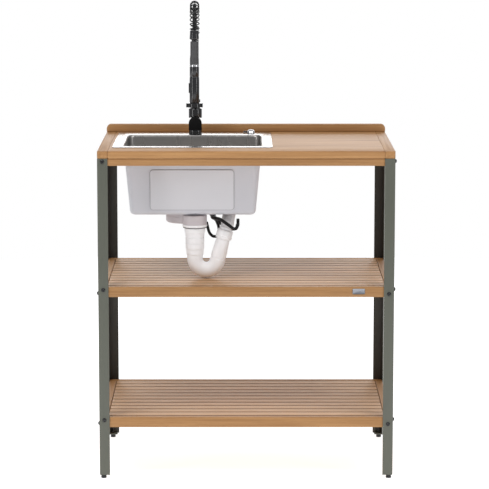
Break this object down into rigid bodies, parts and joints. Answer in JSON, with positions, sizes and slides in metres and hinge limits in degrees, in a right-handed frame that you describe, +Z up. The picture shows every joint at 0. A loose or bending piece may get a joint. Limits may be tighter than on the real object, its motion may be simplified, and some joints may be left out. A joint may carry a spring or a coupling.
{
  "type": "potting bench",
  "caption": "Hardwood potting bench on steel angle legs with a drop-in sink, sprung pull-down tap, bottle-neck trap and two slatted shelves under the worktop.",
  "frame": {"origin": "middle of the footprint on the floor", "axes": "+X to the right seen from the front, +Y to the back, +Z up; the front with the name plate faces -Y"},
  "size_m": [0.809, 0.509, 1.283],
  "materials": {
    "oiled_hardwood": "oiled hardwood, planed",
    "slat_hardwood": "oiled hardwood slats, weathered a little",
    "green_powder_coat": "fine satin powder coat, grey green",
    "black_foot": "moulded black plastic",
    "black_bolt": "blackened steel, satin",
    "brushed_plate": "brushed, blank",
    "sink_steel": "satin stainless steel",
    "sound_pad_coat": "light grey damping coat",
    "white_plastic": "white moulded plastic",
    "black_cable": "black sleeve",
    "black_pipe": "black sleeved tail",
    "black_satin_metal": "satin black",
    "black_satin_plastic": "satin black",
    "black_spring": "satin black coil over a hose",
    "zinc_nut": "plated",
    "chrome_knob": "polished",
    "polished_plug": "polished steel"
  },
  "bodies": {
    "root": {"worktop_board": "oiled_hardwood", "worktop_end_left": "oiled_hardwood", "worktop_end_right": "oiled_hardwood", "rear_upstand": "oiled_hardwood", "apron_front": "oiled_hardwood", "apron_rear": "oiled_hardwood", "apron_left": "oiled_hardwood", "apron_right": "oiled_hardwood", "leg_front_left": "green_powder_coat", "leg_front_right": "green_powder_coat", "leg_rear_right": "green_powder_coat", "leg_rear_left": "green_powder_coat", "bolt_front_left_top": "black_bolt", "bolt_front_left_mid_a": "black_bolt", "bolt_front_left_mid_b": "black_bolt", "bolt_front_left_low_a": "black_bolt", "bolt_front_left_low_b": "black_bolt", "bolt_front_right_top": "black_bolt", "bolt_front_right_mid_a": "black_bolt", "bolt_front_right_mid_b": "black_bolt", "bolt_front_right_low_a": "black_bolt", "bolt_front_right_low_b": "black_bolt", "bolt_rear_right_top": "black_bolt", "bolt_rear_right_mid_a": "black_bolt", "bolt_rear_right_mid_b": "black_bolt", "bolt_rear_right_low_a": "black_bolt", "bolt_rear_right_low_b": "black_bolt", "bolt_rear_left_top": "black_bolt", "bolt_rear_left_mid_a": "black_bolt", "bolt_rear_left_mid_b": "black_bolt", "bolt_rear_left_low_a": "black_bolt", "bolt_rear_left_low_b": "black_bolt", "mid_shelf_frame": "oiled_hardwood", "mid_shelf_slats": "slat_hardwood", "lower_shelf_frame": "oiled_hardwood", "lower_shelf_slats": "slat_hardwood", "name_plate": "brushed_plate", "sink_bowl": "sink_steel", "sound_pad": "sound_pad_coat", "waste_body": "white_plastic", "waste_cable": "black_cable", "trap_inlet": "white_plastic", "trap_bend": "white_plastic", "outlet_tube": "white_plastic", "tap_body": "black_satin_metal", "tap_nut": "zinc_nut", "supply_pipe": "black_pipe"},
    "front_left_foot": {"foot_front_left": "black_foot"},
    "front_right_foot": {"foot_front_right": "black_foot"},
    "rear_right_foot": {"foot_rear_right": "black_foot"},
    "rear_left_foot": {"foot_rear_left": "black_foot"},
    "spout": {"spout_riser": "black_satin_metal", "docking_arm": "black_satin_metal", "spout_spring": "black_spring"},
    "spray": {"spray_head": "black_satin_plastic"},
    "spray_trigger": {"spray_button": "black_satin_plastic"},
    "lever_carrier": {"lever_ring": "black_satin_metal"},
    "lever": {"tap_lever": "black_satin_metal"},
    "knob": {"waste_knob": "chrome_knob"},
    "plug": {"strainer_plug": "polished_plug"}
  },
  "joints": [
    {"name": "front_left_foot_screw", "type": "slide", "parent": "root", "child": "front_left_foot", "axis": [0, 0, -1], "range_m": [0, 0.012]},
    {"name": "front_right_foot_screw", "type": "slide", "parent": "root", "child": "front_right_foot", "axis": [0, 0, -1], "range_m": [0, 0.012]},
    {"name": "rear_right_foot_screw", "type": "slide", "parent": "root", "child": "rear_right_foot", "axis": [0, 0, -1], "range_m": [0, 0.012]},
    {"name": "rear_left_foot_screw", "type": "slide", "parent": "root", "child": "rear_left_foot", "axis": [0, 0, -1], "range_m": [0, 0.012]},
    {"name": "spout_swivel", "type": "hinge", "parent": "root", "child": "spout", "pos_m": [-0.144, 0.166, 0.95], "axis": [0, 0, 1], "range_deg": [-60, 60]},
    {"name": "spray_pull_down", "type": "slide", "parent": "spout", "child": "spray", "axis": [0, 0, -1], "range_m": [0, 0.15], "stiffness_N_per_m": 60, "springref_m": -0.05},
    {"name": "spray_button_press", "type": "slide", "parent": "spray", "child": "spray_trigger", "axis": [1, 0, 0], "range_m": [0, 0.002], "stiffness_N_per_m": 300, "springref_m": -0.001},
    {"name": "lever_turn", "type": "hinge", "parent": "root", "child": "lever_carrier", "pos_m": [-0.144, 0.166, 0.917], "axis": [0, 0, 1], "range_deg": [-40, 40]},
    {"name": "lever_tilt", "type": "hinge", "parent": "lever_carrier", "child": "lever", "pos_m": [-0.144, 0.1469, 0.9154], "axis": [1, 0, 0], "range_deg": [0, 25]},
    {"name": "waste_knob_turn", "type": "hinge", "parent": "root", "child": "knob", "pos_m": [0.014, 0.17, 0.905], "axis": [0, 0, 1], "range_deg": [0, 90]},
    {"name": "plug_lift", "type": "slide", "parent": "root", "child": "plug", "axis": [0, 0, 1], "range_m": [0, 0.008]}
  ],
  "couplings": [
    {"joint": "waste_knob_turn", "follows": "plug_lift", "rad_per_m": 196}
  ]
}
